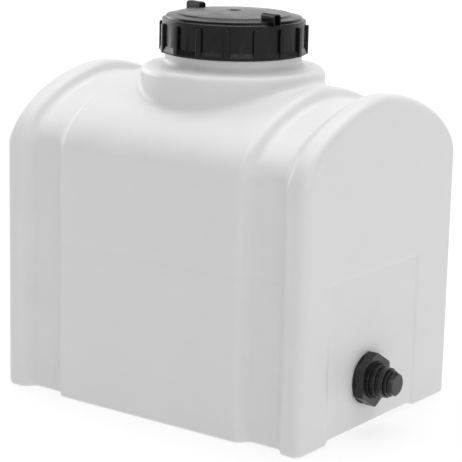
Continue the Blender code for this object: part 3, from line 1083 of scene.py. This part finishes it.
def hexagon(name: str, radius: float, low: float, high: float, phase: float, edge: float) -> bpy.types.Object:
    """Adds a six-sided prism about Z and rounds its long edges.

    Args:
        name: Name of the object.
        radius: Radius to its corners.
        low: Its lower end.
        high: Its upper end.
        phase: How far it is turned about Z.
        edge: Rounding of the long edges.

    Returns:
        The prism.
    """
    bpy.ops.mesh.primitive_cylinder_add(vertices=6, radius=radius, depth=high - low,
                                        location=(0, 0, (low + high) / 2), rotation=(0, 0, phase))
    obj = settle(bpy.context.object)
    obj.name = name
    round_edges(obj, edge, 4, lambda side: abs(side.verts[0].co.z - side.verts[1].co.z) > edge)
    return obj


@dataclass
class BulkheadFitting:
    """The flanged body through the end wall, its gasket, its washer and its hexagon nut."""

    flange_in: float = field(default_factory=lambda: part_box("bulkhead_body")[0].x)
    barrel_end: float = field(default_factory=lambda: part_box("bulkhead_body")[1].x)
    gasket: tuple[float, float] = field(
        default_factory=lambda: (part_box("inner_gasket")[0].x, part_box("inner_gasket")[1].x))
    washer: tuple[float, float] = field(
        default_factory=lambda: (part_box("outer_washer")[0].x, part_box("outer_washer")[1].x))
    nut: tuple[float, float] = field(
        default_factory=lambda: (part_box("bulkhead_nut")[0].x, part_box("bulkhead_nut")[1].x))
    flange_radius: float = 27.9 * MM
    flange_thickness: float = 5 * MM
    barrel_radius: float = 16.4 * MM
    barrel_bore: float = 12.7 * MM
    thread_depth: float = 0.75 * MM
    thread_pitch: float = 1.8 * MM
    collar_length: float = 5.6 * MM
    nut_hole: float = 16.8 * MM
    nut_corners: float = 30.3 * MM
    nut_phase: float = math.radians(29)
    nut_ring: float = 20 * MM
    nut_ring_height: float = 1 * MM
    nut_hub: float = 18.6 * MM
    nut_hub_height: float = 6.9 * MM

    def body(self) -> bpy.types.Object:
        """Turns the flanged body, threads it outside and grooves its bore.

        Returns:
            The body in its place.
        """
        flange_out = self.flange_in + self.flange_thickness
        root = self.barrel_radius - self.thread_depth
        collar = self.barrel_end - self.collar_length
        outline = rounded([
            (self.barrel_bore, self.flange_in, 1 * MM),
            (self.flange_radius, self.flange_in, 1.5 * MM),
            (self.flange_radius, flange_out, 0.6 * MM),
            (root, flange_out, 0.5 * MM),
            (root, collar, 0.4 * MM),
            (self.barrel_radius, collar, 0.4 * MM),
            (self.barrel_radius, self.barrel_end, 0.9 * MM),
            (self.barrel_bore, self.barrel_end, 0.4 * MM),
        ])
        body = turned("fitting_body", outline, 96)
        start = flange_out + 1.6 * MM
        turns = (collar - start - self.thread_pitch / 2) / self.thread_pitch
        ridge = thread_ridge(root, self.barrel_radius - 0.05 * MM, start, turns, self.thread_pitch,
                             0.9 * self.thread_pitch, 48)
        combine(body, Join.ADD, ridge)
        turns = (self.barrel_end - self.flange_in - 8 * MM) / PIPE_PITCH
        start = self.barrel_end - turns * PIPE_PITCH + MM
        groove = thread_ridge(self.barrel_bore, self.barrel_bore + 0.8 * MM, start, turns, PIPE_PITCH,
                              0.85 * PIPE_PITCH, 36)
        combine(body, Join.CUT, groove)
        return onto_fitting(body)

    def ring(self, name: str, span: tuple[float, float], outer: float, soft: float) -> bpy.types.Object:
        """Turns a flat ring round the barrel.

        Args:
            name: Name of the object.
            span: Its two faces along the fitting.
            outer: Its outer radius.
            soft: Rounding of its edges.

        Returns:
            The ring in its place.
        """
        low, high = span
        outline = rounded([(self.nut_hole, low, soft), (outer, low, soft), (outer, high, soft),
                           (self.nut_hole, high, soft)])
        return onto_fitting(turned(name, outline, 96))

    def hexagon_nut(self) -> bpy.types.Object:
        """Models the nut: a chamfered hexagon with a dish, a raised ring and a hub round the barrel.

        Returns:
            The nut in its place.
        """
        low, top = self.nut
        ring_top = top - self.nut_hub_height
        face = ring_top - self.nut_ring_height
        nut = hexagon("nut", self.nut_corners, low, face, self.nut_phase, 1.3 * MM)
        limit = turned("chamfer_limit", [
            (0, low - MM),
            (self.nut_corners - 1.6 * MM, low - MM),
            (self.nut_corners + MM, low + 1.2 * MM),
            (self.nut_corners + MM, face - 1.3 * MM),
            (self.nut_corners - 2.6 * MM, face + MM),
            (0, face + MM),
        ], 96)
        combine(nut, Join.KEEP, limit)
        dish = turned("dish", rounded([
            (self.nut_hole - MM, face - 0.9 * MM, 0), (self.nut_ring + 0.4 * MM, face - 0.9 * MM, 0.8 * MM),
            (self.nut_ring + 4.6 * MM, face + 0.1 * MM, 0), (self.nut_ring + 4.6 * MM, face + 2 * MM, 0),
            (self.nut_hole - MM, face + 2 * MM, 0),
        ]), 96)
        combine(nut, Join.CUT, dish)
        ring = turned("raised_ring", rounded([
            (self.nut_hole - MM, face - 3 * MM, 0), (self.nut_ring, face - 3 * MM, 0),
            (self.nut_ring, ring_top, 0.5 * MM), (self.nut_hub + 0.5 * MM, ring_top, 0.3 * MM),
            (self.nut_hub + 0.3 * MM, ring_top - 0.7 * MM, 0), (self.nut_hub, ring_top - 0.7 * MM, 0),
            (self.nut_hub, top, 0.7 * MM), (self.nut_hole - MM, top, 0),
        ]), 96)
        combine(nut, Join.ADD, ring)
        bore = turned("bore", [(0, low - MM), (self.nut_hole, low - MM), (self.nut_hole, top + MM),
                               (0, top + MM)], 96)
        combine(nut, Join.CUT, bore)
        return onto_fitting(nut)

    def build(self) -> dict[str, bpy.types.Object]:
        """Models the fitting's pieces.

        Returns:
            Each piece by the CAD node that it stands for.
        """
        return {
            "bulkhead_body": self.body(),
            "inner_gasket": self.ring("fitting_gasket", self.gasket, self.flange_radius - MM, 0.4 * MM),
            "outer_washer": self.ring("fitting_washer", self.washer, self.flange_radius, 0.5 * MM),
            "bulkhead_nut": self.hexagon_nut(),
        }

    def dress(self, pieces: dict[str, bpy.types.Object]) -> None:
        """Finishes the plastic pieces in filled polypropylene and the gasket in rubber."""
        plastic = FILLED_POLYPROPYLENE.made()
        gasket = pieces.pop("inner_gasket")
        finish_piece(gasket, "inner_gasket", Body.TANK, NITRILE_RUBBER.made())
        for node, piece in pieces.items():
            finish_piece(piece, node, Body.TANK, plastic)


@dataclass
class DrainPlug:
    """The hollow drain plug with a chamfered hexagon head, and the sealing ring under the head."""

    start: float = field(default_factory=lambda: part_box("drain_plug")[0].x)
    end: float = field(default_factory=lambda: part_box("drain_plug")[1].x)
    seal: tuple[float, float] = field(
        default_factory=lambda: (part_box("plug_seal")[0].x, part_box("plug_seal")[1].x))
    shank: float = 12.3 * MM
    hollow: float = 9 * MM
    floor: float = 4 * MM
    flange: float = 2.6 * MM
    head_corners: float = 13.5 * MM
    face_radius: float = 10.9 * MM
    chamfer: float = 2.4 * MM
    seal_outer: float = 14.2 * MM
    phase: float = math.radians(29)

    def plug(self) -> bpy.types.Object:
        """Models the plug: hexagon head, grooved shank and hollow.

        Returns:
            The plug in its place.
        """
        head_low = self.seal[1] + GAP
        hexagon_low = head_low + self.flange
        plug = hexagon("plug", self.head_corners, hexagon_low, self.end, self.phase, 0.7 * MM)
        limit = turned("plug_limit", rounded([
            (0, hexagon_low - MM, 0), (self.head_corners - 0.9 * MM, hexagon_low - MM, 0),
            (self.head_corners + 0.5 * MM, hexagon_low + 1.2 * MM, 0),
            (self.head_corners + 0.5 * MM, self.end - self.chamfer, 0),
            (self.face_radius, self.end, 0.8 * MM), (0, self.end, 0),
        ], closed=False), 96)
        combine(plug, Join.KEEP, limit)
        shank = turned("plug_shank", rounded([
            (0, self.start, 0),
            (self.shank, self.start, 1.2 * MM),
            (self.shank, head_low, 0),
            (self.seal_outer, head_low, 0.4 * MM),
            (self.seal_outer, hexagon_low - 0.9 * MM, 0.4 * MM),
            (self.shank - 0.5 * MM, hexagon_low - 0.9 * MM, 0.2 * MM),
            (self.shank - 0.5 * MM, hexagon_low + MM, 0),
            (0, hexagon_low + MM, 0),
        ], closed=False), 96)
        turns = (head_low - self.start - 2.2 * MM) / PIPE_PITCH
        groove = thread_ridge(self.shank, self.shank - 0.8 * MM, self.start - MM, turns, PIPE_PITCH,
                              0.85 * PIPE_PITCH, 36)
        combine(shank, Join.CUT, groove)
        combine(plug, Join.ADD, shank)
        hollow = turned("plug_hollow", rounded([
            (0, self.start - MM, 0), (self.hollow, self.start - MM, 0),
            (self.hollow, self.end - self.floor, 1.5 * MM), (0, self.end - self.floor, 0),
        ], closed=False), 72)
        combine(plug, Join.CUT, hollow)
        return onto_fitting(plug)

    def sealing_ring(self) -> bpy.types.Object:
        """Turns the round-sectioned sealing ring.

        Returns:
            The ring in its place.
        """
        low, high = self.seal
        inner = self.shank + GAP
        soft = (high - low) / 2.02
        outline = rounded([
            (inner, low, 0.3 * MM), (self.seal_outer, low, soft),
            (self.seal_outer, high, soft), (inner, high, 0.3 * MM),
        ])
        return onto_fitting(turned("sealing_ring", outline, 96))

    def build(self) -> tuple[bpy.types.Object, bpy.types.Object]:
        """Models the plug and its ring.

        Returns:
            The plug and the sealing ring.
        """
        return self.plug(), self.sealing_ring()

    def dress(self, plug: bpy.types.Object, ring: bpy.types.Object) -> None:
        """Finishes the plug in filled polypropylene and the ring in rubber."""
        finish_piece(plug, "drain_plug", Body.PLUG, FILLED_POLYPROPYLENE.made())
        finish_piece(ring, "plug_seal", Body.PLUG_RING, NITRILE_RUBBER.made())


# ------------------------------------------------------------------ studio


@dataclass(frozen=True)
class Studio:
    """A pale floor, soft light from above and from the fitting's end, soft panels and the camera."""

    floor_size: float = 60.0
    sky: float = 0.23
    overhead: float = 2.68
    overhead_spread: float = math.radians(72)
    side: float = 0.55
    side_spread: float = math.radians(60)
    panels: tuple[tuple[str, float, float, float, float, float, float], ...] = (
        ("backdrop_light", 0.0, 5.5, 0.05, 34.0, 4.0, 0.88),
        ("left_light", 50.0, 4.0, 0.05, 3.0, 2.5, 3.2),
        ("front_light", 180.0, 5.0, 1.3, 16.0, 1.2, 2.6),
    )
    eye: tuple[float, float, float] = (1.17820, -1.62726, 0.64835)
    aim: tuple[float, float, float] = (0.00148, 0.00107, 0.18406)
    roll: float = math.radians(1.2869)
    lens: float = 142.664
    sensor: float = 36.0

    def floor(self) -> None:
        """Lays the floor."""
        bpy.ops.mesh.primitive_plane_add(size=self.floor_size, location=(0, 0, 0))
        floor = bpy.context.object
        floor.name = "studio_floor"
        material = bpy.data.materials.new("studio_floor")
        material.use_nodes = True
        shader = material.node_tree.nodes["Principled BSDF"]
        shader.inputs["Base Color"].default_value = linear("#949494")
        shader.inputs["Roughness"].default_value = 0.9
        shader.inputs["Specular IOR Level"].default_value = 0.1
        shader.inputs["Emission Color"].default_value = linear("#FFFFFF")
        shader.inputs["Emission Strength"].default_value = 0.72
        floor.data.materials.append(material)

    def sun(self, name: str, strength: float, spread: float, direction: Vector) -> None:
        """Adds a soft light from far away.

        Args:
            name: Name of the light.
            strength: Its strength.
            spread: How wide it is, as an angle.
            direction: The way its light travels.
        """
        light = bpy.data.lights.new(name, "SUN")
        light.energy = strength
        light.angle = spread
        obj = bpy.data.objects.new(name, light)
        bpy.context.scene.collection.objects.link(obj)
        obj.rotation_euler = direction.to_track_quat("-Z", "Y").to_euler()

    def soft_panel(self, name: str, round_to_left: float, distance: float, low: float, width: float,
                   height: float, strength: float) -> None:
        """Stands a soft panel round the tank, which the black pieces mirror and which leaves the rest alone.

        Args:
            name: Name of the light.
            round_to_left: How far it stands to the left of straight behind the tank, in degrees.
            distance: How far it is from the tank.
            low: Height of its lower edge.
            width: Its width.
            height: Its height.
            strength: Its radiance.
        """
        light = bpy.data.lights.new(name, "AREA")
        light.shape = "RECTANGLE"
        light.size = width
        light.size_y = height
        light.energy = strength * math.pi * width * height
        obj = bpy.data.objects.new(name, light)
        bpy.context.scene.collection.objects.link(obj)
        away = Vector(self.aim) - Vector(self.eye)
        away.z = 0
        away = Matrix.Rotation(math.radians(round_to_left), 3, "Z") @ away.normalized()
        obj.location = away * distance + Vector((0, 0, low + height / 2))
        obj.rotation_euler = (-away).to_track_quat("-Z", "Y").to_euler()
        obj.visible_diffuse = False

    def lights(self) -> None:
        """Sets the sky, the two soft lights and the panels."""
        world = bpy.data.worlds.new("studio_sky")
        world.use_nodes = True
        background = world.node_tree.nodes["Background"]
        background.inputs["Color"].default_value = linear("#FFFFFF")
        background.inputs["Strength"].default_value = self.sky
        bpy.context.scene.world = world
        self.sun("overhead_light", self.overhead, self.overhead_spread, Vector((0.12, -0.12, -1)))
        self.sun("end_light", self.side, self.side_spread, Vector((-1, 0.25, -0.35)))
        for panel in self.panels:
            self.soft_panel(*panel)

    def camera(self) -> None:
        """Places the camera."""
        data = bpy.data.cameras.new("camera")
        data.lens = self.lens
        data.sensor_width = self.sensor
        data.clip_end = 100.0
        camera = bpy.data.objects.new("camera", data)
        bpy.context.scene.collection.objects.link(camera)
        eye, aim = Vector(self.eye), Vector(self.aim)
        turn = (aim - eye).to_track_quat("-Z", "Y").to_matrix().to_4x4()
        camera.matrix_world = Matrix.Translation(eye) @ turn @ Matrix.Rotation(self.roll, 4, "Z")
        bpy.context.scene.camera = camera

    def build(self) -> None:
        """Sets up the floor, the lights, the camera and the colours of the view."""
        self.camera()
        self.floor()
        self.lights()
        bpy.context.scene.view_settings.view_transform = "Standard"


def main() -> None:
    """Builds and dresses each sub-assembly in order."""
    logging.basicConfig(level=logging.INFO, format="%(name)s: %(message)s")
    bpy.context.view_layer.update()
    bpy.ops.object.select_all(action="DESELECT")
    Studio().build()
    shell = TankShell()
    shell.dress(shell.build())
    lid = ScrewLid()
    lid.dress(lid.build())
    gasket = LidGasket()
    gasket.dress(gasket.build())
    vent = Vent()
    vent.dress(*vent.build())
    fitting = BulkheadFitting()
    fitting.dress(fitting.build())
    plug = DrainPlug()
    plug.dress(*plug.build())


if __name__ == "__main__":
    main()
